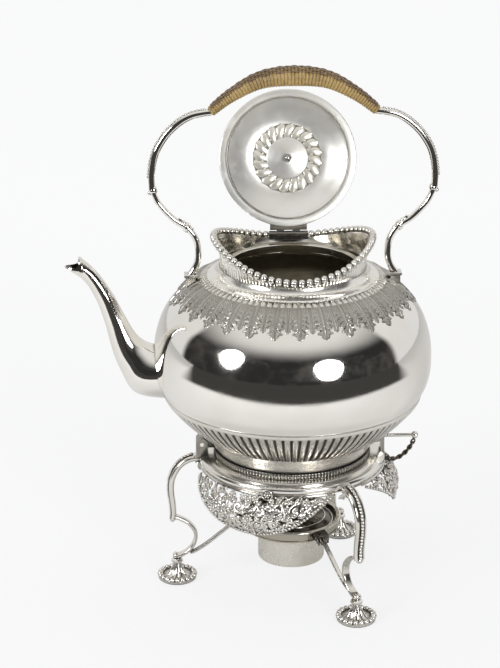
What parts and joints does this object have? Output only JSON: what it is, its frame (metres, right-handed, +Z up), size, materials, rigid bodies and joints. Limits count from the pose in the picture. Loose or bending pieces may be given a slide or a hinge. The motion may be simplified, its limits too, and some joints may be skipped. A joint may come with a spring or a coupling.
{
  "type": "spirit kettle on stand",
  "caption": "Bellied swing-handled spirit kettle with hinged lid and curved spout, pivoted on a footed openwork stand over a small round spirit burner.",
  "frame": {"origin": "on the table plane under the kettle's vertical axis", "axes": "+Z up, -X towards the spout, +X towards the locking pin, +Y towards the lid hinge"},
  "size_m": [0.2644, 0.2022, 0.389],
  "materials": {
    "polished_silver": "mirror polished, warm, with a little tarnish in the recesses",
    "chased_silver": "chased and cast ornament with dark recesses",
    "cane": "woven split cane, satin",
    "wick": "braided cotton"
  },
  "bodies": {
    "stand": {"stand_ring": "polished_silver", "gallery_band": "chased_silver", "skirt_spout_front": "chased_silver", "skirt_rear": "chased_silver", "skirt_spout_back": "chased_silver", "rosettes": "chased_silver", "leg_left": "chased_silver", "leg_front": "chased_silver", "leg_rear": "chased_silver", "foot_left": "chased_silver", "foot_front": "chased_silver", "foot_rear": "chased_silver", "strut_left": "chased_silver", "strut_front": "chased_silver", "strut_rear": "chased_silver", "burner_holder": "polished_silver", "pivot_ears": "polished_silver", "pivot_pin": "polished_silver", "rear_ear": "polished_silver", "pin_chain": "chased_silver"},
    "kettle": {"kettle_shell": "polished_silver", "fluted_base": "polished_silver", "foot_band": "polished_silver", "neck_ring": "polished_silver", "collar": "polished_silver", "rim_beading": "chased_silver", "lid_seat": "polished_silver", "spout": "polished_silver", "handle_grip": "cane", "handle_arm_left": "chased_silver", "handle_arm_right": "chased_silver", "handle_socket_left": "polished_silver", "handle_socket_right": "polished_silver", "leaf_plate_left": "chased_silver", "leaf_plate_right": "chased_silver", "hinge_plate": "polished_silver", "hinge_pin": "polished_silver", "pivot_lug": "polished_silver", "rear_lug": "polished_silver"},
    "lid": {"lid_dome": "polished_silver", "lid_bezel": "polished_silver", "leaf_boss": "chased_silver", "boss_cone": "polished_silver", "finial": "polished_silver", "finial_nut": "polished_silver", "lid_hinge_leaf": "polished_silver"},
    "burner": {"burner_font": "polished_silver", "burner_cover": "polished_silver", "wick_tube": "polished_silver", "wick": "wick"},
    "snuffer": {"snuffer_cap": "polished_silver", "snuffer_knob": "polished_silver"},
    "rear_pin": {"locking_pin": "polished_silver", "pin_knob": "polished_silver"}
  },
  "joints": [
    {"name": "kettle_tilt", "type": "hinge", "parent": "stand", "child": "kettle", "pos_m": [-0.066, 0, 0.11], "axis": [0, -1, 0], "range_deg": [0, 45]},
    {"name": "lid_hinge", "type": "hinge", "parent": "kettle", "child": "lid", "pos_m": [0, 0.0556, 0.2506], "axis": [1, 0, 0], "range_deg": [0, 107]},
    {"name": "rear_pin_pull", "type": "slide", "parent": "stand", "child": "rear_pin", "axis": [1, 0, 0], "range_m": [0, 0.02]},
    {"name": "burner_lift", "type": "slide", "parent": "stand", "child": "burner", "axis": [0, 0, 1], "range_m": [0, 0.02]},
    {"name": "snuffer_lift", "type": "slide", "parent": "burner", "child": "snuffer", "axis": [0, 0, 1], "range_m": [0, 0.012]}
  ]
}
